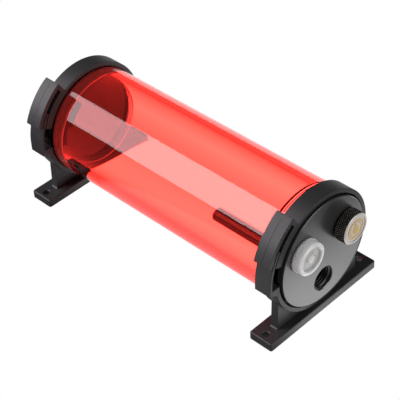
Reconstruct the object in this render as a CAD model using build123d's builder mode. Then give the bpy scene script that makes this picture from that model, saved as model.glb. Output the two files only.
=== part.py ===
"""Water cooling reservoir: a clear tube with two caps, held in two footed ratchet clamps.

Millimetres. +X runs along the tube towards the port cap, +Y to the back, +Z up.
The origin is the centre of the four foot holes, on the plane that the feet rest on.
"""
import os
from math import asin, cos, degrees, radians, sin, sqrt

from build123d import *

# Overall layout
axis_height = 36.5
cap_overhang = 3.4
clamp_inset = 2.5

# Tube
tube_d = 60.0
tube_bore_d = 50.0
tube_length = 164.0
socket_d = 52.0
socket_depth = 13.1
tube_edge_chamfer = 0.5

# Caps
spigot_clearance = 0.12
spigot_length = 6.7
spigot_chamfer = 0.8
flange_d = 58.7
flange_chamfer = 0.3
seal_groove_width = 2.2
seal_groove_depth = 1.3
seal_inset = 1.15
seal_spacing = 3.0
seal_slack = 0.04

# Ports, G 1/4 thread
thread_major_d = 13.16
thread_depth = 6.5
port_circle_d = 34.0
open_port_angle = -90
transport_port_angle = 150
fill_port_angle = 30
port_chamfer = 0.35
pipe_seat_depth = 2.4
pipe_seat_clearance = 0.05

# Standpipe
pipe_d = 8.0
pipe_bore_d = 5.0
pipe_length = 61.7
pipe_edge_chamfer = 0.5

# Plugs
thread_clearance = 0.07
plug_thread_length = 5.0
plug_tip_chamfer = 0.6
plug_seat_gap = 0.3
fill_head_d = 17.4
fill_head_height = 6.7
fill_head_chamfer = 0.4
fill_face_recess_d = 13.6
fill_face_recess_depth = 0.25
knurl_count = 40
knurl_depth = 0.3
knurl_margin = 0.7
plug_seal_section = 1.2
plug_seal_slack = 0.05
plug_seal_radial_gap = 0.1
transport_flange_d = 18.2
transport_flange_thickness = 1.3
transport_body_d = 17.2
transport_body_height = 4.0
transport_edge_radius = 0.9
transport_rib_count = 44
transport_rib_depth = 0.35
dish_d = 13.4
dish_floor_d = 11.6
dish_depth = 1.3
hub_d = 4.2
hub_height = 0.7

# Clamps
clamp_width = 9.6
ring_clearance = 0.15
ring_wall = 2.35
ring_edge_chamfer = 0.3
jaw_top_angle = 121.5
slot_top_angle = 125.0
prong_end_angle = 159.8
ring_end_angle = 161.0
tongue_tip_angle = 146.5
inner_prong_wall = 4.25
slot_width = 2.8
outer_prong_wall = 2.4
tongue_thickness = 1.7
tongue_inner_gap = 0.55
tongue_teeth_end_angle = 180.0
window_floor = -1.4
root_depth = 2.9
root_angle = 192.0
tooth_pitch_angle = 2.2
tooth_height = 0.42
tooth_groove = 0.3
tooth_lean = 0.15
prong_line_angle = 151.5
prong_line_depth = 0.2

# Feet
foot_length = 78.0
foot_width = 14.0
foot_thickness = 4.4
foot_corner_radius = 1.0
foot_edge_radius = 0.7
foot_hole_inset = 4.0
foot_hole_d = 3.6
foot_hole_chamfer = 0.35
web_thickness = 4.3
web_top_inset = 4.2
web_hole_gap = 6.0
web_fillet = 0.8

# Worked out from the sizes above
tube_r = tube_d / 2
socket_r = socket_d / 2
spigot_r = socket_r - spigot_clearance
flange_r = flange_d / 2
tube_end = tube_length / 2
clamp_x = tube_end - clamp_inset
cap_face = tube_end + cap_overhang
cap_inner = tube_end - spigot_length
port_r = thread_major_d / 2
port_circle_r = port_circle_d / 2
port_floor = cap_face - thread_depth
pipe_stop = cap_inner + pipe_seat_depth
pipe_end_x = pipe_stop - pipe_length
thread_r = port_r - thread_clearance
ring_inner_r = tube_r + ring_clearance
ring_outer_r = ring_inner_r + ring_wall
inner_prong_r = ring_inner_r + inner_prong_wall
slot_outer_r = inner_prong_r + slot_width
outer_prong_r = slot_outer_r + outer_prong_wall
tongue_inner_r = inner_prong_r + tongue_inner_gap
tongue_outer_r = tongue_inner_r + tongue_thickness
foot_hole_y = foot_length / 2 - foot_hole_inset
web_top_half_width = ring_outer_r - web_top_inset
web_foot_half_width = foot_hole_y - web_hole_gap

tube_axis = Axis((0, 0, axis_height), (1, 0, 0))


def across(x):
    """Plane square to the tube at x: its own x is +Y and its own y is up from the tube's axis."""
    return Plane(origin=(x, 0, axis_height), x_dir=(0, 1, 0), z_dir=(1, 0, 0))


def polar(radius, angle):
    """Point at a radius and an angle in degrees, in a plane square to the tube."""
    return (radius * cos(radians(angle)), radius * sin(radians(angle)))


def port_centre(angle):
    """Centre of a port on the cap's face."""
    return polar(port_circle_r, angle)


def facing(angle):
    """Plane on the port cap's face, centred on the port at this angle."""
    y, z = port_centre(angle)
    return Plane(origin=(cap_face, y, axis_height + z), x_dir=(0, 1, 0), z_dir=(1, 0, 0))


def seal_places():
    """Distances from the tube's end to the middle of each seal groove, outer groove first."""
    return (seal_inset + seal_groove_width / 2, seal_inset + seal_groove_width / 2 + seal_spacing)


def save(piece, name):
    """Label a finished piece and write its file."""
    piece.part.label = name
    export_step(piece.part, "parts/" + name + ".step")


os.makedirs("parts", exist_ok=True)


# Tube: bore, a wider seal socket at each end, and chamfered mouths
with BuildPart() as reservoir_tube:
    with BuildSketch(across(-tube_end)):
        Circle(tube_r)
        Circle(tube_bore_d / 2, mode=Mode.SUBTRACT)
    extrude(amount=tube_length)
    with BuildSketch(across(-tube_end), across(tube_end - socket_depth)):
        Circle(socket_r)
    extrude(amount=socket_depth, mode=Mode.SUBTRACT)
    end_edges = [
        edge
        for edge in reservoir_tube.edges().filter_by(GeomType.CIRCLE)
        if abs(abs(edge.center().X) - tube_end) < 0.01
    ]
    chamfer(end_edges, tube_edge_chamfer)
save(reservoir_tube, "reservoir_tube")


def cap_blank(end):
    """Cap without ports: flange, spigot and two seal grooves, on the tube's end at end = 1 or -1."""
    with BuildPart() as blank:
        with BuildSketch(Plane.XZ):
            with BuildLine():
                Polyline(
                    (end * cap_inner, axis_height),
                    (end * cap_inner, axis_height + spigot_r - spigot_chamfer),
                    (end * (cap_inner + spigot_chamfer), axis_height + spigot_r),
                    (end * tube_end, axis_height + spigot_r),
                    (end * tube_end, axis_height + flange_r),
                    (end * (cap_face - flange_chamfer), axis_height + flange_r),
                    (end * cap_face, axis_height + flange_r - flange_chamfer),
                    (end * cap_face, axis_height),
                    close=True,
                )
            make_face()
            groove_places = [(end * (tube_end - inset), axis_height + spigot_r) for inset in seal_places()]
            with Locations(*groove_places):
                Rectangle(seal_groove_width, 2 * seal_groove_depth, mode=Mode.SUBTRACT)
        revolve(axis=tube_axis)
    return blank


# Port cap: three threaded ports, and a seat for the pipe behind the open one
port_cap_blank = cap_blank(1)
with BuildPart() as port_cap:
    add(port_cap_blank.part)
    with Locations(facing(fill_port_angle), facing(transport_port_angle)):
        Hole(port_r)
    with BuildSketch(facing(open_port_angle)):
        Circle(port_r)
    extrude(amount=-thread_depth, mode=Mode.SUBTRACT)
    with BuildSketch(facing(open_port_angle).offset(pipe_stop - cap_face)):
        Circle(pipe_d / 2 + pipe_seat_clearance)
    extrude(amount=-pipe_seat_depth, mode=Mode.SUBTRACT)
    with BuildSketch(facing(open_port_angle).offset(port_floor - cap_face)):
        Circle(pipe_bore_d / 2)
    extrude(amount=pipe_stop - port_floor, mode=Mode.SUBTRACT)
    mouths = [
        edge
        for edge in port_cap.edges().filter_by(GeomType.CIRCLE)
        if abs(edge.center().X - cap_face) < 0.01 and abs(edge.radius - port_r) < 0.01
    ]
    chamfer(mouths, port_chamfer)
save(port_cap, "port_cap")

# Rear cap: the same blank, closed
rear_cap_blank = cap_blank(-1)
with BuildPart() as rear_cap:
    add(rear_cap_blank.part)
save(rear_cap, "rear_cap")


def cap_seal(x):
    """O-ring squeezed flat between a spigot groove's floor and the socket's wall, at x."""
    floor_r = spigot_r - seal_groove_depth
    height = socket_r - floor_r - 2 * seal_slack
    width = seal_groove_width - 2 * seal_slack
    with BuildPart() as seal:
        with BuildSketch(Plane.XZ):
            with Locations((x, axis_height + floor_r + seal_slack + height / 2)):
                SlotOverall(width, height)
        revolve(axis=tube_axis)
    return seal


for cap_name, end in (("port_cap", 1), ("rear_cap", -1)):
    for seal_name, inset in zip(("outer_seal", "inner_seal"), seal_places()):
        save(cap_seal(end * (tube_end - inset)), cap_name + "_" + seal_name)

# Standpipe: seated in the cap behind the open port
with BuildPart() as standpipe:
    with BuildSketch(facing(open_port_angle).offset(pipe_end_x - cap_face)):
        Circle(pipe_d / 2)
        Circle(pipe_bore_d / 2, mode=Mode.SUBTRACT)
    extrude(amount=pipe_length)
    open_end = standpipe.faces().sort_by(Axis.X)[0]
    chamfer(open_end.edges().sort_by(SortBy.RADIUS)[-1], pipe_edge_chamfer)
save(standpipe, "standpipe")

# Plug seal's place: a groove under each plug's head, open to the cap's face
seal_radius_in = thread_r + plug_seal_radial_gap
seal_radius_out = seal_radius_in + plug_seal_section
head_groove_r = seal_radius_out + plug_seal_radial_gap
head_groove_depth = plug_seal_section - plug_seat_gap
seal_height = plug_seal_section / 2


def plug_seal(angle):
    """O-ring lying on the cap's face round a plug's thread."""
    ring_plane = facing(angle)
    centre = ring_plane.origin
    with BuildPart() as seal:
        with BuildSketch(Plane(origin=centre, x_dir=(0, 1, 0), z_dir=(0, 0, -1))):
            with Locations(((seal_radius_in + seal_radius_out) / 2, seal_height)):
                Circle(plug_seal_section / 2 - plug_seal_slack)
        revolve(axis=Axis(centre, (1, 0, 0)))
    return seal


save(plug_seal(fill_port_angle), "fill_plug_seal")
save(plug_seal(transport_port_angle), "transport_plug_seal")

# Fill plug: knurled head with a shallow face recess, and its thread
with BuildPart() as fill_plug:
    head_plane = facing(fill_port_angle).offset(plug_seat_gap)
    with BuildSketch(head_plane):
        Circle(fill_head_d / 2)
    extrude(amount=fill_head_height)
    chamfer(fill_plug.faces().sort_by(Axis.X)[-1].edges(), fill_head_chamfer)
    with BuildSketch(head_plane.offset(fill_head_height)):
        Circle(fill_face_recess_d / 2)
    extrude(amount=-fill_face_recess_depth, mode=Mode.SUBTRACT)
    with BuildSketch(head_plane.offset(knurl_margin)):
        with PolarLocations(fill_head_d / 2, knurl_count):
            Rectangle(knurl_depth * sqrt(2), knurl_depth * sqrt(2), rotation=45)
    extrude(amount=fill_head_height - 2 * knurl_margin, mode=Mode.SUBTRACT)
    with BuildSketch(head_plane):
        Circle(head_groove_r)
    extrude(amount=head_groove_depth, mode=Mode.SUBTRACT)
    with BuildSketch(head_plane.offset(head_groove_depth)):
        Circle(thread_r)
    extrude(amount=-(head_groove_depth + plug_seat_gap + plug_thread_length))
    chamfer(fill_plug.faces().sort_by(Axis.X)[0].edges(), plug_tip_chamfer)
save(fill_plug, "fill_plug")

# Transport plug: ribbed flange, round edged body with a dished face and a hub, and its thread
with BuildPart() as transport_plug:
    flange_plane = facing(transport_port_angle).offset(plug_seat_gap)
    with BuildSketch(flange_plane.offset(transport_flange_thickness)):
        Circle(transport_body_d / 2)
    extrude(amount=transport_body_height)
    fillet(transport_plug.faces().sort_by(Axis.X)[-1].edges(), transport_edge_radius)
    with BuildSketch(flange_plane):
        Circle(transport_flange_d / 2)
        with PolarLocations(transport_flange_d / 2, transport_rib_count):
            Circle(transport_rib_depth, mode=Mode.SUBTRACT)
    extrude(amount=transport_flange_thickness)
    face_plane = flange_plane.offset(transport_flange_thickness + transport_body_height)
    with BuildSketch(face_plane):
        Circle(dish_d / 2)
    with BuildSketch(face_plane.offset(-dish_depth)):
        Circle(dish_floor_d / 2)
    loft(mode=Mode.SUBTRACT)
    with BuildSketch(face_plane.offset(-dish_depth)):
        Circle(hub_d / 2)
    extrude(amount=hub_height)
    with BuildSketch(flange_plane):
        Circle(head_groove_r)
    extrude(amount=head_groove_depth, mode=Mode.SUBTRACT)
    with BuildSketch(flange_plane.offset(head_groove_depth)):
        Circle(thread_r)
    extrude(amount=-(head_groove_depth + plug_seat_gap + plug_thread_length))
    chamfer(transport_plug.faces().sort_by(Axis.X)[0].edges(), plug_tip_chamfer)
save(transport_plug, "transport_plug")


def band(inner_r, outer_r, start, end):
    """Ring sector between two radii and two angles."""
    with BuildSketch() as sector:
        with BuildLine():
            outer = CenterArc((0, 0), outer_r, start, end - start)
            inner = CenterArc((0, 0), inner_r, start, end - start)
            Line(outer @ 0, inner @ 0)
            Line(outer @ 1, inner @ 1)
        make_face()
    return sector.sketch


def saw_teeth(root_r, tip_r, start, end):
    """Row of saw teeth standing on root_r, their feet sunk in it, with tips on tip_r."""
    sunk_r = root_r + (root_r - tip_r) / 2
    with BuildSketch() as row:
        for step in range(int((end - start) / tooth_pitch_angle)):
            foot = start + step * tooth_pitch_angle
            with BuildLine():
                Polyline(
                    polar(sunk_r, foot),
                    polar(tip_r, foot + tooth_lean * tooth_pitch_angle),
                    polar(sunk_r, foot + tooth_pitch_angle),
                    close=True,
                )
            make_face()
    return row.sketch


def tongue_root():
    """Straight lower length of the tongue and the block that joins it to the ring."""
    window_side_y = -ring_inner_r * cos(asin(-window_floor / ring_inner_r))
    with BuildSketch() as block:
        with BuildLine():
            Polyline(
                (-tongue_outer_r, tooth_height),
                (-tongue_inner_r, tooth_height),
                (-tongue_inner_r, window_floor),
                (window_side_y, window_floor),
                polar(ring_outer_r - ring_wall / 3, root_angle + 4),
                polar(ring_outer_r, root_angle),
                (-tongue_outer_r + root_depth, window_floor - root_depth - ring_wall / 3),
                (-tongue_outer_r, window_floor - root_depth),
                close=True,
            )
        make_face()
    return block.sketch


def foot_clamp(x):
    """One-piece clamp centred at x: foot bar, web, ring and ratchet jaw."""
    window_angle = 180 + degrees(asin(-window_floor / ring_inner_r))
    teeth_start = slot_top_angle + tooth_pitch_angle
    web_foot = foot_thickness - axis_height
    web_top = -sqrt(ring_outer_r**2 - web_top_half_width**2) + ring_wall / 2
    with BuildPart() as clamp:
        # Foot bar with rounded edges and a screw hole near each end
        with BuildSketch(Plane.XY):
            with Locations((x, 0)):
                RectangleRounded(foot_width, foot_length, foot_corner_radius)
        extrude(amount=foot_thickness)
        fillet(clamp.faces().sort_by(Axis.Z)[-1].edges(), foot_edge_radius)
        with Locations(Plane.XY.offset(foot_thickness)):
            with Locations((x, -foot_hole_y), (x, foot_hole_y)):
                Hole(foot_hole_d / 2)
        rims = clamp.edges().filter_by(GeomType.CIRCLE).filter_by(
            lambda edge: abs(edge.radius - foot_hole_d / 2) < 0.01 and edge.center().Z > foot_thickness - 0.01
        )
        chamfer(rims, foot_hole_chamfer)
        # Web under the ring, set in from both of the bar's faces
        with BuildSketch(across(x - web_thickness / 2)):
            with BuildLine():
                Polyline(
                    (-web_foot_half_width, web_foot),
                    (web_foot_half_width, web_foot),
                    (web_top_half_width, web_top),
                    (-web_top_half_width, web_top),
                    close=True,
                )
            make_face()
        extrude(amount=web_thickness)
        web_feet = clamp.edges().filter_by(Axis.X).filter_by(
            lambda edge: abs(abs(edge.center().Y) - web_foot_half_width) < 0.01
        )
        fillet(web_feet, web_fillet)
        # Ring, open between the inner prong's end and the tongue's root
        with BuildSketch(across(x - clamp_width / 2)):
            add(band(ring_inner_r, ring_outer_r, window_angle - 360, ring_end_angle))
        extrude(amount=clamp_width)
        # Ratchet jaw: inner prong, outer prong joined to it above the slot, and the tongue between them
        with BuildSketch(across(x - clamp_width / 2)):
            add(band(ring_inner_r, inner_prong_r, jaw_top_angle, ring_end_angle))
            add(band(inner_prong_r - ring_wall / 2, outer_prong_r, jaw_top_angle, slot_top_angle))
            add(band(slot_outer_r, outer_prong_r, slot_top_angle - 1, prong_end_angle))
            add(saw_teeth(slot_outer_r, slot_outer_r - tooth_height, teeth_start, prong_end_angle))
            add(saw_teeth(inner_prong_r, inner_prong_r + tooth_height, teeth_start, ring_end_angle))
            add(band(tongue_inner_r, tongue_outer_r, tongue_tip_angle, 180))
            add(
                saw_teeth(tongue_outer_r, tongue_outer_r - tooth_groove, tongue_tip_angle, prong_end_angle),
                mode=Mode.SUBTRACT,
            )
            add(
                saw_teeth(tongue_inner_r, tongue_inner_r + tooth_groove, tongue_tip_angle, tongue_teeth_end_angle),
                mode=Mode.SUBTRACT,
            )
            add(tongue_root())
            with Locations(polar(outer_prong_r, prong_line_angle)):
                Circle(prong_line_depth, mode=Mode.SUBTRACT)
        extrude(amount=clamp_width)
        # The tube's place stays clear through the web and the bar
        with BuildSketch(across(x - foot_width / 2)):
            Circle(ring_inner_r)
        extrude(amount=foot_width, mode=Mode.SUBTRACT)
        ring_edges = clamp.edges().filter_by(GeomType.CIRCLE).filter_by(
            lambda edge: abs(edge.radius - ring_outer_r) < 0.01 and edge.length > ring_outer_r / 2
        )
        chamfer(ring_edges, ring_edge_chamfer)
    return clamp


save(foot_clamp(clamp_x), "front_clamp")
save(foot_clamp(-clamp_x), "rear_clamp")
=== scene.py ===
"""Looks for a water cooling reservoir: a red acrylic tube lying in two footed ratchet clamps.

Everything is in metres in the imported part's own frame: +X runs along the tube to the port cap,
+Z is up, and the feet rest on z = 0.
"""

from math import atan2, cos, pi, radians, sin, sqrt, tau

import bpy
from mathutils import Matrix, Vector


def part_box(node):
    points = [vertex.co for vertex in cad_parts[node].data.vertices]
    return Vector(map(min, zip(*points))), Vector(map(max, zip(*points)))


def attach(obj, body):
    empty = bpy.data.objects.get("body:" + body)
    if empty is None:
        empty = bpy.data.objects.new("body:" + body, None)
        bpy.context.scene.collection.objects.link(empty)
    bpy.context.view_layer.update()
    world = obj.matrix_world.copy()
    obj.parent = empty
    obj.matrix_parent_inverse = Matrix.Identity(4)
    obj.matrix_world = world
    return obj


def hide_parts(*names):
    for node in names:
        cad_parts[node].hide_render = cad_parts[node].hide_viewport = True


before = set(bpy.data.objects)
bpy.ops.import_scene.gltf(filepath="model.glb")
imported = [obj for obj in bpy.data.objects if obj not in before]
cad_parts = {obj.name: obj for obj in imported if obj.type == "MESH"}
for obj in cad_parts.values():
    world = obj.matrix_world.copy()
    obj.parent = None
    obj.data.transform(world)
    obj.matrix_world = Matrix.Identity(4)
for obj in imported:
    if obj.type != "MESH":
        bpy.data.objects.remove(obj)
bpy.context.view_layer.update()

bl_info = {
    "name": "Cooling reservoir",
    "version": (1, 0, 0),
    "blender": (4, 5, 0),
    "location": "View3D > Sidebar > Reservoir",
    "description": "Models the visible detail, finishes and studio of a coolant reservoir",
    "category": "Object",
}

MM = 0.001

# Numbers that several functions share

TURNING_PITCH = 0.6 * MM
TOOTH_PITCH_ANGLE = 2.2
TRANSPORT_RIBS = 44
POINTS_PER_RIB = 4
FLANGE_THICKNESS = 1.3 * MM
FLANGE_STEP = 0.5 * MM
PLUG_NECK_RADIUS = 5.9 * MM
THREAD_CREST = 0.2 * MM
OPEN_PORT_DROP = 17 * MM

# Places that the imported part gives

tube_low, tube_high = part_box("reservoir_tube")
fill_low, fill_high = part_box("fill_plug")
transport_low, transport_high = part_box("transport_plug")
AXIS_Z = (tube_low.z + tube_high.z) / 2
TUBE_AXIS = (0.0, AXIS_Z)
TUBE_END = tube_high.x
CAP_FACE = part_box("port_cap")[1].x
FILL_AXIS = ((fill_low.y + fill_high.y) / 2, (fill_low.z + fill_high.z) / 2)
FILL_RADIUS = (fill_high.z - fill_low.z) / 2
TRANSPORT_AXIS = ((transport_low.y + transport_high.y) / 2, (transport_low.z + transport_high.z) / 2)
TRANSPORT_RADIUS = (transport_high.z - transport_low.z) / 2
OPEN_AXIS = (0.0, AXIS_Z - OPEN_PORT_DROP)


# Settings that a user would change

def distance_setting(name, description, default):
    """A length in metres."""
    return bpy.props.FloatProperty(
        name=name, description=description, default=default, subtype="DISTANCE")


def colour_setting(name, description, default):
    """A colour in linear values."""
    return bpy.props.FloatVectorProperty(
        name=name, description=description, default=default, subtype="COLOR", size=3)


class ReservoirSizes(bpy.types.PropertyGroup):
    """Sizes of the modelled detail."""

    tube_radius: distance_setting(
        "Tube radius", "Outside radius of the acrylic tube", tube_high.z - AXIS_Z)
    bore_radius: distance_setting(
        "Bore radius", "Inside radius of the tube between its sockets", 25 * MM)
    socket_radius: distance_setting(
        "Socket radius", "Inside radius of the wider ends that take the caps", 26 * MM)
    socket_depth: distance_setting(
        "Socket depth", "Length of each wider end", 13.1 * MM)
    rib_count: bpy.props.IntProperty(
        name="Rib count", description="Fine ribs in each socket's wall, near its inner end",
        default=6)
    rib_pitch: distance_setting(
        "Rib pitch", "Distance from one rib to the next", 1.1 * MM)
    rib_depth: distance_setting(
        "Rib depth", "Depth of the grooves between the ribs", 0.25 * MM)
    tube_chamfer: distance_setting(
        "Tube chamfer", "Chamfer on the tube's end edges", 0.5 * MM)
    thread_pitch: distance_setting(
        "Thread pitch", "Pitch of the pipe threads, 19 turns to the inch", 1.337 * MM)
    thread_minor_radius: distance_setting(
        "Thread minor radius", "Radius at the root of the plug threads", 5.75 * MM)
    port_radius: distance_setting(
        "Port radius", "Radius of the port walls at the thread's major diameter", 6.58 * MM)
    plug_thread_radius: distance_setting(
        "Plug thread radius", "Radius over the crests of the plug threads", 6.5 * MM)
    plug_thread_length: distance_setting(
        "Plug thread length", "Length of thread below a plug's head", 5 * MM)
    knurl_columns: bpy.props.IntProperty(
        name="Knurl columns", description="Columns of points round the fill plug's head, an even number",
        default=84)
    knurl_rows: bpy.props.IntProperty(
        name="Knurl rows", description="Rows of points along the fill plug's head",
        default=9)
    knurl_depth: distance_setting(
        "Knurl depth", "Height of the knurl's diamonds", 0.36 * MM)


class ReservoirColours(bpy.types.PropertyGroup):
    """Colours of the finishes."""

    acrylic: colour_setting(
        "Acrylic", "Surface tint of the clear acrylic", (1.0, 0.90, 0.90))
    acrylic_depth: colour_setting(
        "Acrylic depth", "Colour that light keeps inside the acrylic", (1.0, 0.185, 0.11))
    acrylic_density: bpy.props.FloatProperty(
        name="Acrylic density", description="How strongly the acrylic absorbs light, per metre",
        default=335)
    # Painted shade: near black for the acrylic inside the clamps, where the clamps and the black cap
    # behind it shade it.
    clamp_shaded_acrylic: colour_setting(
        "Gripped acrylic", "Acrylic inside the clamps, black with the cap behind it",
        (0.012, 0.002, 0.002))
    acetal: colour_setting(
        "Acetal", "Turned black acetal of the caps", (0.025, 0.025, 0.026))
    nylon: colour_setting(
        "Nylon", "Moulded black nylon of the clamps", (0.021, 0.021, 0.022))
    pipe: colour_setting(
        "Pipe", "Polished black of the inner pipe", (0.02, 0.02, 0.022))
    rubber: colour_setting(
        "Rubber", "Black nitrile rubber of the seals", (0.022, 0.022, 0.023))
    anodised: colour_setting(
        "Anodised", "Black anodised metal of the fill plug", (0.03, 0.03, 0.031))
    # Painted highlight: the warm light colour of the knurl's points stands in for their glints.
    knurl_glint: colour_setting(
        "Bare metal", "Metal that shows where the knurl's points are rubbed", (0.95, 0.78, 0.62))
    plug_face: colour_setting(
        "Plug face", "Light machined face of the fill plug", (0.66, 0.63, 0.58))
    gold: colour_setting(
        "Gold", "Gold inlay on the fill plug's face", (0.68, 0.44, 0.14))
    frosted: colour_setting(
        "Frosted plastic", "Translucent plastic of the transport plug", (0.86, 0.86, 0.85))


def sizes():
    """The size settings."""
    return bpy.context.scene.reservoir_sizes


def colours():
    """The colour settings."""
    return bpy.context.scene.reservoir_colours


# Shader arithmetic

class Term:
    """A shader socket that adds Math nodes when it is used in an expression."""

    def __init__(self, paint, socket):
        self.paint = paint
        self.socket = socket

    def __add__(self, other):
        return self.paint.math("ADD", self, other)

    def __radd__(self, other):
        return self.paint.math("ADD", other, self)

    def __sub__(self, other):
        return self.paint.math("SUBTRACT", self, other)

    def __rsub__(self, other):
        return self.paint.math("SUBTRACT", other, self)

    def __mul__(self, other):
        return self.paint.math("MULTIPLY", self, other)

    def __rmul__(self, other):
        return self.paint.math("MULTIPLY", other, self)

    def __truediv__(self, other):
        return self.paint.math("DIVIDE", self, other)

    def __rtruediv__(self, other):
        return self.paint.math("DIVIDE", other, self)

    def sine(self):
        return self.paint.math("SINE", self)

    def absolute(self):
        return self.paint.math("ABSOLUTE", self)

    def largest(self, other):
        return self.paint.math("MAXIMUM", self, other)

    def above(self, limit):
        """1 where the value is over a limit, and 0 elsewhere."""
        return self.paint.math("GREATER_THAN", self, limit)

    def equals(self, number):
        """1 where a value of whole numbers is this number, and 0 elsewhere."""
        return self.paint.math("COMPARE", self, number, 0.5)


class Paint:
    """The nodes of one material, or of a world, which owns them."""

    def __init__(self, name, world=False):
        self.owner = (bpy.data.worlds if world else bpy.data.materials).new(name)
        self.owner.use_nodes = True
        self.tree = self.owner.node_tree
        self.tree.nodes.clear()
        self.output = self.tree.nodes.new(
            "ShaderNodeOutputWorld" if world else "ShaderNodeOutputMaterial")

    def node(self, kind, settings=None, inputs=None, output=0):
        """Adds a node with its settings and socket values or links, and returns one output."""
        made = self.tree.nodes.new(kind)
        for key, value in (settings or {}).items():
            setattr(made, key, value)
        for key, value in (inputs or {}).items():
            if isinstance(value, Term):
                self.tree.links.new(value.socket, made.inputs[key])
            else:
                made.inputs[key].default_value = value
        return Term(self, made.outputs[output])

    def math(self, operation, *values):
        """A Math node on these values."""
        return self.node("ShaderNodeMath", {"operation": operation}, dict(enumerate(values)))

    def ramp(self, value, first, last, kind="LINEAR"):
        """Runs from one (value, result) pair to another, and stays level beyond them."""
        return self.node("ShaderNodeMapRange", {"interpolation_type": kind, "clamp": True},
                         {"Value": value, "From Min": first[0], "From Max": last[0],
                          "To Min": first[1], "To Max": last[1]})

    def fade(self, value, first, last):
        """A ramp with soft ends."""
        return self.ramp(value, first, last, "SMOOTHSTEP")

    def light_path(self, *names):
        """What the Light Path node says of the ray, one value for each name."""
        return [self.node("ShaderNodeLightPath", output=name) for name in names]

    def coordinate(self, axis):
        """One object coordinate."""
        return self.node("ShaderNodeSeparateXYZ", None, {0: self.place()}, output=axis)

    def place(self, centre=(0, 0, 0), scale=(1, 1, 1)):
        """Object coordinates, moved to a centre and scaled."""
        coordinates = self.node("ShaderNodeTexCoord", output="Object")
        moved = [-c * s for c, s in zip(centre, scale)]
        return self.node("ShaderNodeMapping", None,
                         {"Vector": coordinates, "Location": moved, "Scale": scale})

    def noise(self, scale, detail, vector=None):
        """Even noise from 0 to 1, scale features to the metre."""
        return self.node("ShaderNodeTexNoise", None,
                         {"Vector": vector or self.place(), "Scale": scale, "Detail": detail})

    def blend(self, factor, first, second):
        """Colour mix of two colours or links."""
        made = self.tree.nodes.new("ShaderNodeMix")
        made.data_type = "RGBA"
        for key, value in zip((0, 6, 7), (factor, first, second)):
            if isinstance(value, Term):
                self.tree.links.new(value.socket, made.inputs[key])
            else:
                made.inputs[key].default_value = value if key == 0 else (*value[:3], 1.0)
        return Term(self, made.outputs[2])

    def shades(self, factor, colour, low, high):
        """A colour that varies between two brightnesses of itself."""
        return self.blend(factor, [c * low for c in colour], [c * high for c in colour])

    def bump(self, height, distance):
        """A bump from a height in units of distance."""
        return self.node("ShaderNodeBump", None, {"Height": height, "Distance": distance})

    def put_out(self, shader, socket="Surface"):
        """Links a shader to the output, and returns the material or world."""
        self.tree.links.new(shader.socket, self.output.inputs[socket])
        return self.owner

    def finish(self, inputs):
        """A Principled surface."""
        return self.put_out(self.node("ShaderNodeBsdfPrincipled", None, inputs))


def radius_term(paint, axis):
    """Distance from an axis along X, in metres."""
    place = paint.place(centre=(0, axis[0], axis[1]), scale=(0, 1, 1))
    return paint.node("ShaderNodeVectorMath", {"operation": "LENGTH"}, {0: place}, output="Value")


# Finishes

def red_acrylic():
    """Clear polished red acrylic with faint polishing haze, painted black and metallic at the ends
    inside the clamps as painted shade.

    The black reaches deeper into the front end than into the rear one, by twice the shift.
    """
    black_start, black_full, shift = 7.1 * MM, 6.2 * MM, 1.2 * MM
    shadow_leak = 0.3
    paint = Paint("red acrylic")
    haze = paint.noise(260, detail=4, vector=paint.place(scale=(0.12, 1, 1)))
    out = (paint.coordinate("X") + shift).absolute()
    # Painted shade: 1 inside the clamps, where the acrylic is painted black and metallic.
    clamp_shade = paint.ramp(out, (TUBE_END - black_start, 0), (TUBE_END - black_full, 1))
    (shadow,) = paint.light_path("Is Shadow Ray")
    depth = paint.node("ShaderNodeVolumeAbsorption", None,
                       {"Color": (*colours().acrylic_depth, 1), "Density": colours().acrylic_density})
    paint.put_out(depth, "Volume")
    return paint.finish({
        "Base Color": paint.blend(clamp_shade, colours().acrylic, colours().clamp_shaded_acrylic),
        "Metallic": clamp_shade, "Transmission Weight": 1.0, "IOR": 1.49,
        "Roughness": haze * 0.02, "Alpha": 1 - shadow * shadow_leak})


def turned_acetal(name, axis, gloss=1.0):
    """Turned black acetal: fine rings round an axis, and a faint speckle."""
    paint = Paint(name)
    rings = (radius_term(paint, axis) * (tau / TURNING_PITCH)).sine()
    speckle = paint.noise(1500, detail=2)
    cloud = paint.noise(60, detail=2)
    tone = speckle * 0.7 + cloud * 0.3
    bump = paint.bump(rings * 0.5 + speckle, 0.012 * MM)
    return paint.finish({
        "Base Color": paint.shades(tone, colours().acetal, 0.72, 1.28),
        "Roughness": 0.24 + speckle * 0.12, "Specular IOR Level": gloss, "Coat Weight": gloss / 2,
        "Coat Roughness": 0.24, "Normal": bump})


def moulded_nylon():
    """Moulded black nylon, with a fine spark-eroded texture and flow marks."""
    paint = Paint("moulded nylon")
    grain = paint.noise(1100, detail=3)
    flow = paint.noise(45, detail=3)
    return paint.finish({
        "Base Color": paint.shades(grain * 0.6 + flow * 0.4, colours().nylon, 0.75, 1.25),
        "Roughness": 0.47 + flow * 0.14, "Specular IOR Level": 0.65,
        "Coat Weight": 0.1, "Coat Roughness": 0.3, "Normal": paint.bump(grain, 0.02 * MM)})


def polished_pipe():
    """Polished black pipe with a faint drawn grain along it."""
    paint = Paint("polished pipe")
    drawn = paint.noise(900, detail=3, vector=paint.place(scale=(0.03, 1, 1)))
    return paint.finish({
        "Base Color": paint.shades(drawn, colours().pipe, 0.7, 1.3),
        "Roughness": 0.1 + drawn * 0.1, "Coat Weight": 0.3,
        "Normal": paint.bump(drawn, 0.004 * MM)})


def seal_rubber():
    """Black nitrile rubber, faintly mottled."""
    paint = Paint("seal rubber")
    mottle = paint.noise(800, detail=3)
    return paint.finish({
        "Base Color": paint.shades(mottle, colours().rubber, 0.7, 1.4),
        "Roughness": 0.5 + mottle * 0.2, "Normal": paint.bump(mottle, 0.01 * MM)})


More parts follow.
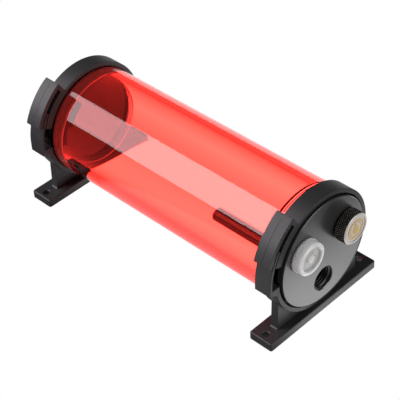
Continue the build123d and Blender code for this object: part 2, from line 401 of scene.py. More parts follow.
def knurled_black():
    """Black anodised metal of the fill plug, with painted highlights: its knurl's points are painted a
    warm light colour.
    """
    depth = sizes().knurl_depth
    paint = Paint("knurled black")
    knurl_noise = paint.noise(700, detail=4)
    height = (radius_term(paint, FILL_AXIS) - (FILL_RADIUS - depth)) / depth
    # Painted highlight: the knurl's highest points turn to the warm light colour.
    painted_glint = paint.ramp(height + knurl_noise * 0.3, (0.75, 0), (1.15, 1))
    black = paint.shades(knurl_noise, colours().anodised, 0.6, 1.6)
    return paint.finish({
        "Base Color": paint.blend(painted_glint, black, colours().knurl_glint),
        "Metallic": 0.55, "Roughness": 0.3 + knurl_noise * 0.15, "Normal": paint.bump(knurl_noise, 0.006 * MM)})


def machined_face():
    """Light machined face of the fill plug, with fine turning rings."""
    ring_pitch = 0.55 * MM
    paint = Paint("machined face")
    rings = (radius_term(paint, FILL_AXIS) * (tau / ring_pitch)).sine()
    grain = paint.noise(1400, detail=3)
    return paint.finish({
        "Base Color": paint.shades(grain, colours().plug_face, 0.85, 1.15),
        "Metallic": 0.3, "Roughness": 0.38 + grain * 0.1,
        "Normal": paint.bump(rings * 0.4 + grain, 0.008 * MM)})


def gold_inlay():
    """Satin gold inlay."""
    paint = Paint("gold inlay")
    grain = paint.noise(1300, detail=3)
    return paint.finish({
        "Base Color": paint.shades(grain, colours().gold, 0.9, 1.1),
        "Metallic": 0.35, "Roughness": 0.3 + grain * 0.12,
        "Normal": paint.bump(grain, 0.006 * MM)})


def frosted_plastic():
    """Frosted translucent plastic of the transport plug, paler on its side wall, rim and hub and darker
    in the dish: partly its thickness, partly painted light and painted shade.
    """
    paint = Paint("frosted plastic")
    cloud = paint.noise(350, detail=4)
    out = radius_term(paint, TRANSPORT_AXIS) + cloud * 0.1 * MM
    wall_radius = TRANSPORT_RADIUS - FLANGE_STEP
    wall_start, wall_full = wall_radius - 0.6 * MM, wall_radius - 0.1 * MM
    rim_start, rim_full, rim_share = 6.4 * MM, 7 * MM, 0.42
    hub_full, hub_end, hub_share = 2.2 * MM, 2.6 * MM, 0.3
    wall = paint.ramp(out, (wall_start, 0), (wall_full, 1))
    rim = paint.ramp(out, (rim_start, 0), (rim_full, 1))
    hub = paint.ramp(out, (hub_full, 1), (hub_end, 0))
    # Painted light and shade: lit and shaded copies of the frosted colour, lighter on the side wall, rim
    # and hub, darker in the dish.
    thick = wall.largest(rim * rim_share).largest(hub * hub_share)
    return paint.finish({
        "Base Color": paint.blend(thick, paint.shades(cloud, colours().frosted, 0.5, 0.62),
                                  paint.shades(cloud, colours().frosted, 1.02, 1.16)),
        "Roughness": 0.3 + cloud * 0.1, "IOR": 1.49, "Coat Weight": 0.8, "Coat Roughness": 0.08,
        "Subsurface Weight": 1.0, "Subsurface Radius": (1, 1, 1), "Subsurface Scale": 5 * MM,
        "Normal": paint.bump(cloud, 0.004 * MM)})


# Modelling helpers

def clear_selection():
    """Object mode with nothing selected."""
    if bpy.context.object is not None and bpy.context.object.mode != "OBJECT":
        bpy.ops.object.mode_set(mode="OBJECT")
    bpy.ops.object.select_all(action="DESELECT")


def call(piece, name):
    """Gives a piece and its mesh a name."""
    piece.name = name
    piece.data.name = name
    return piece


def named(name):
    """Names the new primitive and applies its place."""
    bpy.ops.object.transform_apply(location=True, rotation=True, scale=True)
    return call(bpy.context.object, name)


def only(piece):
    """Makes a piece the only selected and active object."""
    clear_selection()
    piece.select_set(True)
    bpy.context.view_layer.objects.active = piece


def edit(piece, selected=True):
    """Edit mode on a piece, with all of it or nothing of it selected."""
    only(piece)
    bpy.ops.object.mode_set(mode="EDIT")
    bpy.ops.mesh.select_mode(type="VERT")
    bpy.ops.mesh.select_all(action="SELECT" if selected else "DESELECT")


def pick(piece, test):
    """Selects the vertices that pass a test on their place, from edit mode."""
    bpy.ops.mesh.select_all(action="DESELECT")
    bpy.ops.object.mode_set(mode="OBJECT")
    for vertex in piece.data.vertices:
        vertex.select = bool(test(vertex.co))
    bpy.ops.object.mode_set(mode="EDIT")


def settle(piece, smooth_angle=30):
    """Merges doubles, faces everything outwards, and smooths the shading."""
    edit(piece)
    bpy.ops.mesh.remove_doubles(threshold=0.002 * MM)
    bpy.ops.mesh.normals_make_consistent(inside=False)
    bpy.ops.object.mode_set(mode="OBJECT")
    bpy.ops.object.shade_smooth_by_angle(angle=radians(smooth_angle))
    return piece


def turned(name, profile, axis, segments=128, solid=False, smooth_angle=30):
    """Turns (x, radius) points about an axis along X. A solid one is closed by flat ends."""
    clear_selection()
    first_x, first_radius = profile[0]
    bpy.ops.mesh.primitive_circle_add(
        vertices=segments, radius=first_radius, fill_type="NGON" if solid else "NOTHING",
        location=(first_x, *axis), rotation=(0, pi / 2, 0))
    piece = named(name)
    edit(piece)
    route = profile if solid else [*profile, profile[0]]
    for (x, radius), (next_x, next_radius) in zip(route, route[1:]):
        share = next_radius / radius
        bpy.ops.mesh.extrude_edges_move(TRANSFORM_OT_translate={"value": (next_x - x, 0, 0)})
        bpy.ops.transform.resize(value=(1, share, share), center_override=(next_x, *axis))
    if solid:
        bpy.ops.mesh.edge_face_add()
    return settle(piece, smooth_angle)


def helix(name, axis, start_x, length, pitch, root_radius, crest_radius, crest_width):
    """A right-hand thread ridge about an axis along X, as a closed solid."""
    steps_per_turn = 40
    turns = length / pitch - 1
    clear_selection()
    bpy.ops.mesh.primitive_plane_add(size=1, location=(start_x + pitch / 2, *axis),
                                     rotation=(pi / 2, 0, 0))
    piece = call(bpy.context.object, name)
    bpy.ops.object.transform_apply(location=False, rotation=True, scale=False)
    edit(piece)
    middle = (root_radius + crest_radius) / 2
    crest_outside = crest_radius > root_radius
    bpy.ops.transform.resize(value=(pitch, 1, abs(crest_radius - root_radius)))
    bpy.ops.transform.translate(value=(0, 0, middle))
    pick(piece, lambda place: (place.z > middle) == crest_outside)
    bpy.ops.transform.resize(value=(crest_width / pitch, 1, 1))
    bpy.ops.mesh.select_all(action="SELECT")
    bpy.ops.mesh.delete(type="ONLY_FACE")
    bpy.ops.object.mode_set(mode="OBJECT")
    screw = piece.modifiers.new("thread", "SCREW")
    screw.axis = "X"
    screw.angle = turns * tau
    screw.screw_offset = turns * pitch
    screw.steps = round(turns * steps_per_turn)
    screw.render_steps = screw.steps
    bpy.ops.object.modifier_apply(modifier=screw.name)
    bpy.ops.object.transform_apply(location=True, rotation=True, scale=True)
    edit(piece, selected=False)
    bpy.ops.mesh.select_non_manifold()
    bpy.ops.mesh.fill()
    return settle(piece, 40)


def dress(piece, material):
    """Gives a piece one material."""
    piece.data.materials.clear()
    piece.data.materials.append(material)


def sector(name, x, width, inner, outer, start, end, rounding=0.25 * MM):
    """A rounded bar bent round the tube's axis between two radii and two angles in degrees.

    Its two ends are the only faces with more than four corners, so they are found by that.
    """
    degrees_per_step = 2
    clear_selection()
    angle = radians(start)
    middle = (inner + outer) / 2
    bpy.ops.mesh.primitive_plane_add(
        size=1, location=(x, middle * cos(angle), AXIS_Z + middle * sin(angle)), rotation=(angle, 0, 0))
    piece = bpy.context.object
    piece.scale = (width, outer - inner, 1)
    piece = named(name)
    edit(piece)
    bpy.ops.mesh.bevel(offset=rounding, segments=3, affect="VERTICES")
    bpy.ops.mesh.spin(steps=max(3, round((end - start) / degrees_per_step)),
                      angle=radians(end - start), center=(x, 0, AXIS_Z), axis=(-1, 0, 0))
    bpy.ops.mesh.select_all(action="SELECT")
    bpy.ops.mesh.remove_doubles(threshold=0.001 * MM)
    bpy.ops.mesh.normals_make_consistent(inside=False)
    bpy.ops.mesh.select_all(action="DESELECT")
    bpy.ops.object.mode_set(mode="OBJECT")
    for face in piece.data.polygons:
        face.select = len(face.vertices) > 4
    bpy.ops.object.mode_set(mode="EDIT")
    bpy.ops.mesh.select_mode(type="FACE")
    bpy.ops.mesh.bevel(offset=rounding * 0.6, segments=2, affect="EDGES")
    bpy.ops.mesh.select_mode(type="VERT")
    return settle(piece, 40)


def prism(name, outline, low_x, high_x, rounding=0.0):
    """An outline of (y, z) points pushed along X, with rounded edges where asked."""
    clear_selection()
    bpy.ops.mesh.primitive_circle_add(vertices=len(outline), radius=1 * MM, fill_type="NGON",
                                      location=(low_x, 0, 0), rotation=(0, pi / 2, 0))
    piece = named(name)
    for index, (y, z) in enumerate(outline):
        edit(piece, selected=False)
        bpy.ops.object.mode_set(mode="OBJECT")
        vertex = piece.data.vertices[index]
        vertex.select = True
        move = Vector((low_x, y, z)) - vertex.co
        bpy.ops.object.mode_set(mode="EDIT")
        bpy.ops.transform.translate(value=move)
    bpy.ops.mesh.select_all(action="SELECT")
    bpy.ops.mesh.extrude_region_move(TRANSFORM_OT_translate={"value": (high_x - low_x, 0, 0)})
    bpy.ops.mesh.select_all(action="SELECT")
    bpy.ops.mesh.normals_make_consistent(inside=False)
    if rounding:
        bpy.ops.mesh.bevel(offset=rounding, segments=2, affect="EDGES")
    return settle(piece)


def tooth_row(name, x, width, root, tip, start, count):
    """A row of saw teeth: one tooth, then the rest copied round the tube's axis."""
    lean = 0.15 * TOOTH_PITCH_ANGLE
    sunk = root + (root - tip) / 2
    corners = ((sunk, start), (tip, start + lean), (sunk, start + TOOTH_PITCH_ANGLE))
    outline = [(r * cos(radians(a)), AXIS_Z + r * sin(radians(a))) for r, a in corners]
    row = prism(name, outline, x - width / 2, x + width / 2)
    edit(row)
    for _ in range(count - 1):
        bpy.ops.mesh.duplicate_move()
        bpy.ops.transform.rotate(value=-radians(TOOTH_PITCH_ANGLE), orient_axis="X",
                                 center_override=(x, 0, AXIS_Z))
    bpy.ops.object.mode_set(mode="OBJECT")
    return row


def cut(piece, tool):
    """Cuts one piece out of another and removes the tool."""
    only(piece)
    boolean = piece.modifiers.new("cut", "BOOLEAN")
    boolean.operation = "DIFFERENCE"
    boolean.solver = "EXACT"
    boolean.object = tool
    bpy.ops.object.modifier_apply(modifier=boolean.name)
    bpy.data.objects.remove(tool)


def flattened(piece):
    """Keeps big flat faces flat in the smooth shading of their rounded edges."""
    weights = piece.modifiers.new("flat faces", "WEIGHTED_NORMAL")
    weights.keep_sharp = True
    only(piece)
    bpy.ops.object.modifier_apply(modifier=weights.name)
    return piece


def joined(name, pieces):
    """Joins pieces into one object."""
    only(pieces[0])
    for piece in pieces[1:]:
        piece.select_set(True)
    bpy.ops.object.join()
    return call(bpy.context.object, name)


def foot_bar(x):
    """The clamp's foot: a long bar with rounded edges and a screw hole near each end."""
    width, length, height = 14 * MM, 78 * MM, 4.4 * MM
    corner_radius, top_radius, hole_offset = 1 * MM, 0.65 * MM, 35 * MM
    clear_selection()
    bpy.ops.mesh.primitive_cube_add(size=1, location=(x, 0, height / 2))
    bpy.context.object.scale = (width, length, height)
    bar = named("foot_bar")
    edit(bar)
    bpy.ops.mesh.select_mode(type="EDGE")
    bpy.ops.mesh.select_all(action="DESELECT")
    bpy.ops.object.mode_set(mode="OBJECT")
    for edge in bar.data.edges:
        first, second = (bar.data.vertices[i].co for i in edge.vertices)
        edge.select = abs(first.z - second.z) > height / 2
    bpy.ops.object.mode_set(mode="EDIT")
    bpy.ops.mesh.bevel(offset=corner_radius, segments=5, affect="EDGES")
    bpy.ops.mesh.select_mode(type="FACE")
    bpy.ops.mesh.select_all(action="DESELECT")
    bpy.ops.object.mode_set(mode="OBJECT")
    for face in bar.data.polygons:
        face.select = face.normal.z > 0.9
    bpy.ops.object.mode_set(mode="EDIT")
    bpy.ops.mesh.bevel(offset=top_radius, segments=4, affect="EDGES")
    bpy.ops.mesh.select_mode(type="VERT")
    bpy.ops.object.mode_set(mode="OBJECT")
    for side in (-1, 1):
        cut(bar, screw_hole(x, side * hole_offset, height))
    return settle(bar)


def screw_hole(x, y, height):
    """The space of one screw hole, wider at its chamfered mouth."""
    radius, chamfer, margin = 1.8 * MM, 0.35 * MM, 1 * MM
    clear_selection()
    bpy.ops.mesh.primitive_circle_add(vertices=48, radius=radius, fill_type="NGON",
                                      location=(x, y, -margin))
    hole = named("screw_hole")
    edit(hole)
    below = height - chamfer
    for rise, share in ((below + margin, 1), (chamfer, (radius + chamfer) / radius), (margin, 1)):
        bpy.ops.mesh.extrude_region_move(TRANSFORM_OT_translate={"value": (0, 0, rise)})
        bpy.ops.transform.resize(value=(share, share, 1), center_override=(x, y, 0))
    return settle(hole)


def web(x):
    """The web between the foot and the ring, flared at its foot and hollowed to the ring's curve."""
    half, top_half = 29 * MM, 28.3 * MM
    low, top, thick = 4.0 * MM, 21.7 * MM, 4.3 * MM
    hollow_radius = 31.2 * MM
    flare = ((0.8 * MM, 0), (0.8 * MM, 0.45 * MM), (0.3 * MM, 0.75 * MM), (0, 1.3 * MM))
    right = [(half + out, low + up) for out, up in flare] + [(top_half, top)]
    left = [(-y, z) for y, z in reversed(right)]
    plate = prism("web", right + left, x - thick / 2, x + thick / 2, rounding=0.2 * MM)
    space = turned("web_space", [(x - thick, hollow_radius), (x + thick, hollow_radius)], TUBE_AXIS,
                   solid=True)
    cut(plate, space)
    return settle(plate)


def ratchet_clamp(name, x):
    """One moulded clamp: foot, web, ring, two prongs with teeth, and the tongue between them.

    Overlapping forms are narrower by the inset, so that no two of their faces lie in one plane.
    Angles are in degrees round the tube's axis, 0 towards +Y and 90 upwards.
    """
    width, inset, skin = 9.6 * MM, 0.03 * MM, 0.35 * MM
    half = width / 2
    ring_in, ring_out = 30.15 * MM, 32.5 * MM
    inner_out, slot_out, outer_out = 34.4 * MM, 37.2 * MM, 39.6 * MM
    tongue_in, tongue_out, groove, tooth = 34.95 * MM, 36.65 * MM, 0.3 * MM, 0.42 * MM
    jaw_top, slot_top, prong_end, ring_end, ring_start = 121.5, 125.0, 159.8, 161.0, -177.3
    tongue_tip, tongue_end, overlap = 146.5, 180.5, 1.0
    mould_line, line_half = 151.5, 0.12
    parts = [
        foot_bar(x), web(x),
        sector("ring", x, width, ring_in, ring_out, ring_start, jaw_top + overlap, rounding=0.3 * MM),
        sector("inner_prong", x, width - inset, ring_in, inner_out, jaw_top, ring_end),
        sector("bridge", x, width - 2 * inset, ring_out, outer_out, jaw_top, slot_top),
        sector("outer_prong", x, width - 0.1 * MM, slot_out, outer_out - 3 * inset,
               slot_top - overlap, prong_end - 0.1)]
    for side in (-1, 1):
        for start, end in ((slot_top - overlap, mould_line - line_half),
                           (mould_line + line_half, prong_end)):
            parts.append(sector("prong_skin", x + side * (half / 2 + inset), half - 2 * inset,
                                outer_out - skin, outer_out, start, end, rounding=0.1 * MM))
    parts += [
        sector("tongue", x, width - inset, tongue_in + groove, tongue_out - groove,
               tongue_tip, prong_end),
        sector("tongue_back", x, width, tongue_in + groove, tongue_out, prong_end - 0.4, tongue_end)]
    first_slot_tooth = slot_top + TOOTH_PITCH_ANGLE
    first_tongue_tooth = tongue_tip + 0.4
    for row, narrower, root, tip, start, count in (
            ("tongue_back_teeth", 2 * inset, tongue_out - groove, tongue_out, first_tongue_tooth, 6),
            ("outer_teeth", 6 * inset, slot_out, slot_out - tooth, first_slot_tooth, 14),
            ("inner_teeth", 2 * inset, inner_out, inner_out + tooth, first_slot_tooth, 15),
            ("tongue_teeth", 2 * inset, tongue_in + groove, tongue_in, first_tongue_tooth, 15)):
        parts.append(tooth_row(row, x, width - narrower, root, tip, start, count))
    root_outline = ((-36.65, 0.42), (-34.95, 0.42), (-34.95, -1.4), (-30.12, -1.4),
                    (-30.49, -8.74), (-31.79, -6.76), (-33.75, -5.08), (-36.65, -4.3))
    outline = [(y * MM, AXIS_Z + z * MM) for y, z in root_outline]
    parts.append(prism("tongue_root", outline, x - half + inset, x + half - inset, rounding=0.2 * MM))
    return flattened(joined(name, parts))


# Operators, one for each piece or group of like pieces

class RESERVOIR_OT_tube(bpy.types.Operator):
    """Models the clear red acrylic tube with its two sockets"""

    bl_idname = "reservoir.tube"
    bl_label = "Acrylic tube"

    def execute(self, context):
        s = sizes()
        edge = s.tube_chamfer
        step = TUBE_END - s.socket_depth
        ribs = [(step + s.rib_pitch * (rib / 2 + 0.75), s.socket_radius + s.rib_depth * (rib % 2))
                for rib in reversed(range(2 * s.rib_count + 1))]
        half = [(TUBE_END, s.socket_radius), *ribs, (step, s.socket_radius), (step, s.bore_radius)]
        outside = [(TUBE_END - edge, s.tube_radius), (TUBE_END, s.tube_radius - edge)]
        mirrored = [(-x, radius) for x, radius in reversed(outside + half)]
        tube = turned("acrylic_tube", outside + half + mirrored, TUBE_AXIS, segments=160)
        dress(tube, red_acrylic())
        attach(tube, "housing")
        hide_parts("reservoir_tube")
        return {"FINISHED"}


class RESERVOIR_OT_caps(bpy.types.Operator):
    """Finishes the turned caps, the inner pipe and the rubber seals"""

    bl_idname = "reservoir.caps"
    bl_label = "Caps, pipe and seals"

    def execute(self, context):
        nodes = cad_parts
        acetal = turned_acetal("turned acetal", TUBE_AXIS)
        dress(nodes["port_cap"], acetal)
        dress(nodes["rear_cap"], acetal)
        dress(nodes["standpipe"], polished_pipe())
        rubber = seal_rubber()
        for name, node in nodes.items():
            if name.endswith("seal"):
                dress(node, rubber)
        return {"FINISHED"}


class RESERVOIR_OT_open_port(bpy.types.Operator):
    """Models the pipe thread in the open port"""

    bl_idname = "reservoir.open_port"
    bl_label = "Open port thread"

    def execute(self, context):
        s = sizes()
        sunk, depth, length = 0.02 * MM, 6.45 * MM, 6.0 * MM
        thread = helix("open_port_thread", OPEN_AXIS, CAP_FACE - depth, length, s.thread_pitch,
                       s.port_radius + sunk, s.thread_minor_radius, THREAD_CREST)
        dress(thread, turned_acetal("threaded acetal", OPEN_AXIS, gloss=0.2))
        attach(thread, "housing")
        return {"FINISHED"}


class RESERVOIR_OT_fill_plug(bpy.types.Operator):
    """Models the knurled fill plug, its light face and the gold inlay"""

    bl_idname = "reservoir.fill_plug"
    bl_label = "Fill plug"

    def execute(self, context):
        s = sizes()
        head_height, chamfer = 6.7 * MM, 0.45 * MM
        recess_radius, recess, centre_radius = 6.8 * MM, 0.25 * MM, 0.4 * MM
        top = fill_high.x
        base = top - head_height
        valley = FILL_RADIUS - s.knurl_depth
        low_x = base + chamfer
        step = (top - chamfer - low_x) / (s.knurl_rows - 1)
        knurl = [(low_x + i * step, valley) for i in range(s.knurl_rows)]
        profile = [(base, PLUG_NECK_RADIUS), (base, valley - chamfer), *knurl, (top, valley - chamfer),
                   (top, recess_radius), (top - recess, recess_radius), (top - recess, centre_radius)]
        head = turned("fill_plug_head", profile, FILL_AXIS, segments=s.knurl_columns,
                      solid=True, smooth_angle=18)
        raise_diamonds(head, knurl, valley)
        dress(head, knurled_black())
        head.data.materials.append(machined_face())
        for face in head.data.polygons:
            if face.center.x > top - chamfer * 0.6 and face.normal.x > 0.6:
                face.material_index = 1
        thread = plug_thread("fill_plug_thread", FILL_AXIS, base)
        dress(thread, head.data.materials[0])
        gold = gold_inlay()
        inlays = gold_design(top - recess)
        for piece in (head, thread, *inlays):
            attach(piece, "fill_plug_body")
        for piece in inlays:
            dress(piece, gold)
        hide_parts("fill_plug")
        return {"FINISHED"}


def raise_diamonds(head, knurl, valley):
    """Raises every second point of the knurl's rows into diamond points."""
    s = sizes()
    step = knurl[1][0] - knurl[0][0]
    first = knurl[0][0]
    turn = tau / s.knurl_columns
    y, z = FILL_AXIS

    def is_point(place):
        row = (place.x - first) / step
        on_row = -0.2 < row < len(knurl) - 0.8 and abs(row - round(row)) < 0.1
        across = sqrt((place.y - y) ** 2 + (place.z - z) ** 2)
        column = round(atan2(place.y - y, place.z - z) / turn)
        inside = 0 < round(row) < len(knurl) - 1
        return on_row and inside and abs(across - valley) < 0.01 * MM and (round(row) + column) % 2 == 0

    edit(head, selected=False)
    pick(head, is_point)
    grow = (valley + s.knurl_depth) / valley
    bpy.ops.transform.resize(value=(1, grow, grow), center_override=(0, y, z))
    pick(head, lambda place: first - 0.1 * step < place.x < knurl[-1][0] + 0.1 * step)
    bpy.ops.mesh.quads_convert_to_tris(quad_method="SHORTEST_DIAGONAL")
    bpy.ops.object.mode_set(mode="OBJECT")
    bpy.ops.object.shade_smooth_by_angle(angle=radians(12))


def plug_thread(name, axis, base):
    """A plug's threaded stub below its head: a core with a thread ridge joined to it."""
    s = sizes()
    seal_gap, chamfer, into_head = 0.3 * MM, 0.5 * MM, 0.1 * MM
    lead, sunk = 0.2 * MM, 0.05 * MM
    radius = s.thread_minor_radius
    tip = base - seal_gap - s.plug_thread_length
    profile = [(tip, radius - chamfer), (tip + chamfer, radius), (base + into_head, radius)]
    core = turned(name, profile, axis, segments=64, solid=True)
    ridge = helix(name + "_ridge", axis, tip + lead, s.plug_thread_length, s.thread_pitch,
                  radius - sunk, s.plug_thread_radius, THREAD_CREST)
    return joined(name, [core, ridge])


def gold_design(x):
    """A plain gold ring, a drop and a circle of dots on the fill plug's face."""
    y, z = FILL_AXIS
    thick, dot_count = 0.14 * MM, 16
    drop_radius, drop_z, drop_stretch = 2.1 * MM, z - 0.7 * MM, 1.9
    dot_radius, dot_circle = 0.42 * MM, 3.9 * MM
    narrowing = ((1.2 * MM, 0.82), (2.2 * MM, 0.78), (3.0 * MM, 0.72), (3.6 * MM, 0.6))
    ring = turned("fill_plug_gold_ring",
                  [(x, 4.75 * MM), (x + thick, 4.8 * MM), (x + thick, 5.45 * MM), (x, 5.5 * MM)],
                  FILL_AXIS, segments=64)
    clear_selection()
    bpy.ops.mesh.primitive_circle_add(vertices=32, radius=drop_radius, fill_type="NGON",
                                      location=(x, y, drop_z), rotation=(0, pi / 2, 0))
    drop = named("fill_plug_gold_drop")
    edit(drop, selected=False)
    pick(drop, lambda place: place.z > drop_z + 0.1 * MM)
    bpy.ops.transform.resize(value=(1, 1, drop_stretch), center_override=(x, y, drop_z))
    for height, share in narrowing:
        pick(drop, lambda place: place.z > drop_z + height)
        bpy.ops.transform.resize(value=(1, share, 1), center_override=(x, y, drop_z))
    bpy.ops.mesh.select_all(action="SELECT")
    bpy.ops.mesh.extrude_region_move(TRANSFORM_OT_translate={"value": (thick, 0, 0)})
    settle(drop)
    clear_selection()
    bpy.ops.mesh.primitive_cylinder_add(vertices=20, radius=dot_radius, depth=thick,
                                        location=(x + thick / 2, y, z + dot_circle),
                                        rotation=(0, pi / 2, 0))
    dots = named("fill_plug_gold_dots")
    edit(dots)
    for _ in range(dot_count - 1):
        bpy.ops.mesh.duplicate_move()
        bpy.ops.transform.rotate(value=tau / dot_count, orient_axis="X", center_override=(x, y, z))
    settle(dots)
    return ring, drop, dots


class RESERVOIR_OT_transport_plug(bpy.types.Operator):
    """Models the frosted transport plug: ribbed flange, rounded rim, dish and hub"""

    bl_idname = "reservoir.transport_plug"
    bl_label = "Transport plug"

    def execute(self, context):
        head_height, edge, corner = 5.3 * MM, 0.9 * MM, 0.15 * MM
        dish, hub_drop = 1.3 * MM, 0.6 * MM
        top = transport_high.x
        base = top - head_height
        flange_top = base + FLANGE_THICKNESS
        radius = TRANSPORT_RADIUS
        body = radius - FLANGE_STEP
        round_edge = [(top - edge + edge * sin(a), body - edge + edge * cos(a))
                      for a in (radians(d) for d in (0, 22, 45, 68, 90))]
        flange = [(base, PLUG_NECK_RADIUS), (base, radius - corner), (base + corner, radius),
                  (flange_top - corner, radius), (flange_top, radius - corner), (flange_top, body)]
        rim = [(top, 6.75 * MM), (top - 0.12 * MM, 6.6 * MM), (top - dish, 5.8 * MM)]
        hub = [(top - dish, 2.5 * MM), (top - 1.2 * MM, 2.3 * MM), (top - 0.7 * MM, 2.1 * MM),
               (top - hub_drop, 1.9 * MM), (top - hub_drop, 0.3 * MM)]
        head = turned("transport_plug_head", [*flange, *round_edge, *rim, *hub], TRANSPORT_AXIS,
                      segments=TRANSPORT_RIBS * POINTS_PER_RIB, solid=True)
        cut_ribs(head, flange_top)
        thread = plug_thread("transport_plug_thread", TRANSPORT_AXIS, base)
        frosted = frosted_plastic()
        for piece in (head, thread):
            dress(piece, frosted)
            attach(piece, "transport_plug_body")
        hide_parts("transport_plug")
        return {"FINISHED"}


def cut_ribs(head, flange_top):
    """Pulls in every second pair of points of the flange, so that it has ribs."""
    rib_depth = 0.38 * MM
    y, z = TRANSPORT_AXIS
    turn = tau / (TRANSPORT_RIBS * POINTS_PER_RIB)

    def in_gap(place):
        across = sqrt((place.y - y) ** 2 + (place.z - z) ** 2)
        column = round(atan2(place.y - y, place.z - z) / turn) % POINTS_PER_RIB
        on_flange = place.x < flange_top + 0.1 * MM and across > TRANSPORT_RADIUS - 0.2 * MM
        return on_flange and column in (0, 1)

    edit(head, selected=False)
    pick(head, in_gap)
    pull = (TRANSPORT_RADIUS - rib_depth) / TRANSPORT_RADIUS
    bpy.ops.transform.resize(value=(1, pull, pull), center_override=(0, y, z))
    bpy.ops.object.mode_set(mode="OBJECT")
    bpy.ops.object.shade_smooth_by_angle(angle=radians(30))


class RESERVOIR_OT_clamps(bpy.types.Operator):
    """Models the two moulded ratchet clamps with rounded edges"""

    bl_idname = "reservoir.clamps"
    bl_label = "Ratchet clamps"

    def execute(self, context):
        nylon = moulded_nylon()
        low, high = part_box("front_clamp")
        front_x = (low.x + high.x) / 2
        front = ratchet_clamp("front_ratchet_clamp", front_x)
        only(front)
        bpy.ops.object.duplicate()
        rear = call(bpy.context.object, "rear_ratchet_clamp")
        edit(rear)
        bpy.ops.transform.translate(value=(-2 * front_x, 0, 0))
        bpy.ops.object.mode_set(mode="OBJECT")
        for clamp, node in ((front, "front_clamp"), (rear, "rear_clamp")):
            dress(clamp, nylon)
            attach(clamp, "housing")
            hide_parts(node)
        return {"FINISHED"}


# Stage

def backlight(paint):
    """How bright the surroundings are through the tube, by the way that the light takes.

    A way through both walls crosses four surfaces and sees the brightest surroundings. One that
    crosses two and is mirrored once by the bore sees dimmer ones, and so does light that a matt
    surface has thrown back. A way through one wall alone, as when light is piped along it, stays
    dark, as the caps and clamps darken it in the photo.
    """
    mirror_mark, bounce_mark = 3, 10
    any_way, thrown_back, one_mirror, two_walls = 0.3, 0.9, 1.9, 6.1
    crossed, mirrored, bounced = paint.light_path("Transmission Depth", "Glossy Depth", "Diffuse Depth")
    met = crossed + mirrored * mirror_mark + bounced * bounce_mark
    return (met.above(3) * any_way + met.above(bounce_mark - 1) * thrown_back
            + met.equals(2 + mirror_mark) * one_mirror + met.equals(4) * two_walls)


def paint_floor():
    """A pale floor that is plain white to the camera, so that the object has no shadow on it.

    What glossy surfaces mirror of it changes by place, which gives the black faces the gradients
    that they have in the photo. Seen through the tube, it is dimmer along a strip under the tube.
    Each fade and ramp goes from one (metres, brightness) pair to another.
    """
    paint = Paint("pale floor")
    camera, gloss, through = paint.light_path("Is Camera Ray", "Is Glossy Ray", "Is Transmission Ray")
    along, side = paint.coordinate("X"), paint.coordinate("Y")
    past_jaws = paint.fade(side, (-0.045, 0.1), (-0.005, 1.15))
    past_port_cap = paint.fade(along, (0.1, 1.1), (0.145, 0.0))
    past_axis = paint.fade(side, (0.0, 1.3), (0.04, 1.0))
    below_tube = paint.fade(along.absolute(), (0.055, 0.8), (0.07, 0.0))
    towards_port_cap = paint.fade(along, (0.06, 0.5), (0.09, 1.0))
    behind_tube = paint.fade(side, (0.03, 0.0), (0.08, 0.8))
    mirrored = (past_jaws.largest(below_tube) * past_axis * past_port_cap
                * towards_port_cap.largest(behind_tube))
    strip = paint.ramp((side - 0.0325).absolute(), (0.014, 0.56), (0.036, 1.0))
    shown = camera + gloss * mirrored + through * backlight(paint) * strip
    pale = paint.shades(paint.noise(40, detail=2), (0.88, 0.88, 0.88), 0.995, 1.005)
    diffuse = paint.node("ShaderNodeBsdfDiffuse", None, {"Color": pale})
    white = paint.node("ShaderNodeEmission", None, {"Color": (1, 1, 1, 1), "Strength": shown})
    return paint.put_out(paint.node("ShaderNodeMixShader", None, {
        0: camera.largest(gloss).largest(through), 1: diffuse, 2: white}))


def paint_world():
    """White to the camera, bright through the tube, and dim as ambient light and in gloss."""
    ambient, in_gloss = 0.22, 0.05
    paint = Paint("studio", world=True)
    camera, through, diffuse = paint.light_path("Is Camera Ray", "Is Transmission Ray", "Is Diffuse Ray")
    shown = camera + through * backlight(paint) + diffuse * ambient
    return paint.put_out(paint.node("ShaderNodeBackground", None, {
        "Color": (1, 1, 1, 1), "Strength": shown.largest(in_gloss)}))


def softbox(name, place, target, width, height, energy, tint=(1.0, 0.985, 0.985)):
    """A rectangular lamp that faces a point."""
    clear_selection()
    place = Vector(place)
    away = place - Vector(target)
    turn = away.to_track_quat("Z", "Y").to_euler()
    bpy.ops.object.light_add(type="AREA", location=place, rotation=turn)
    lamp = bpy.context.object
    lamp.name = name
    lamp.data.shape = "RECTANGLE"
    lamp.data.size = width
    lamp.data.size_y = height
    lamp.data.energy = energy
    lamp.data.color = tint


def aim(azimuth, elevation, roll, place, lens):
    """The camera at the photo's viewing angle, in degrees."""
    a, e, r = radians(azimuth), radians(elevation), radians(roll)
    back = Vector((sin(a) * cos(e), -cos(a) * cos(e), sin(e)))
    level = Vector((cos(a), sin(a), 0))
    upright = back.cross(level)
    right = level * cos(r) + upright * sin(r)
    up = upright * cos(r) - level * sin(r)
    turn = Matrix((right, up, back)).transposed().to_euler()
    clear_selection()
    bpy.ops.object.camera_add(location=place, rotation=turn)
    camera = bpy.context.object
    camera.name = "photo_camera"
    camera.data.lens = lens
    camera.data.sensor_width = 36
    camera.data.clip_start = 0.02
    camera.data.clip_end = 60
    bpy.context.scene.camera = camera


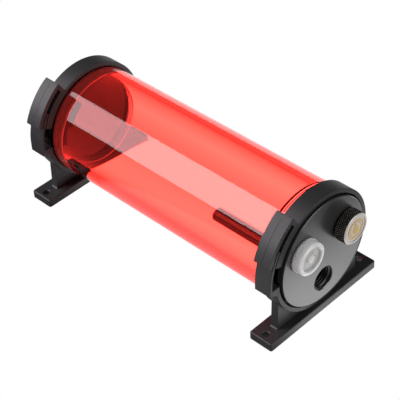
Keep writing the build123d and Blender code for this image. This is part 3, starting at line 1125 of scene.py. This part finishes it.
class RESERVOIR_OT_stage(bpy.types.Operator):
    """Makes the floor, the soft studio light and the camera"""

    bl_idname = "reservoir.stage"
    bl_label = "Stage"

    def execute(self, context):
        clear_selection()
        bpy.ops.mesh.primitive_plane_add(size=12, location=(0, 0, -0.1 * MM))
        floor = named("floor")
        dress(floor, paint_floor())
        softbox("side_softbox", place=(1.25, 0.25, 0.42), target=(0, 0, AXIS_Z),
                width=0.9, height=0.8, energy=8.5)
        softbox("band_softbox", place=(-0.7, -0.628, 0.695), target=(-0.7, 0, AXIS_Z),
                width=0.9, height=0.962, energy=15, tint=(1.0, 0.94, 0.985))
        context.scene.world = paint_world()
        aim(azimuth=46.454, elevation=40.325, roll=-3.5285, place=(0.3798, -0.357975, 0.4636),
            lens=120.19)
        context.scene.view_settings.view_transform = "Standard"
        return {"FINISHED"}


STEPS = (RESERVOIR_OT_tube, RESERVOIR_OT_caps, RESERVOIR_OT_open_port, RESERVOIR_OT_fill_plug,
         RESERVOIR_OT_transport_plug, RESERVOIR_OT_clamps, RESERVOIR_OT_stage)


class RESERVOIR_PT_panel(bpy.types.Panel):
    """Lists the reservoir's steps in the sidebar"""

    bl_idname = "RESERVOIR_PT_panel"
    bl_label = "Cooling reservoir"
    bl_space_type = "VIEW_3D"
    bl_region_type = "UI"
    bl_category = "Reservoir"

    def draw(self, context):
        for step in STEPS:
            self.layout.operator(step.bl_idname)


CLASSES = (ReservoirSizes, ReservoirColours, *STEPS, RESERVOIR_PT_panel)


def register():
    """Registers the classes and the scene's settings."""
    for item in CLASSES:
        bpy.utils.register_class(item)
    bpy.types.Scene.reservoir_sizes = bpy.props.PointerProperty(type=ReservoirSizes)
    bpy.types.Scene.reservoir_colours = bpy.props.PointerProperty(type=ReservoirColours)


def unregister():
    """Takes the settings and classes away again."""
    del bpy.types.Scene.reservoir_colours
    del bpy.types.Scene.reservoir_sizes
    for item in reversed(CLASSES):
        bpy.utils.unregister_class(item)


def main():
    """Registers the settings and runs every step in order."""
    register()
    for step in STEPS:
        group, name = step.bl_idname.split(".")
        getattr(getattr(bpy.ops, group), name)()


if __name__ == "__main__":
    main()
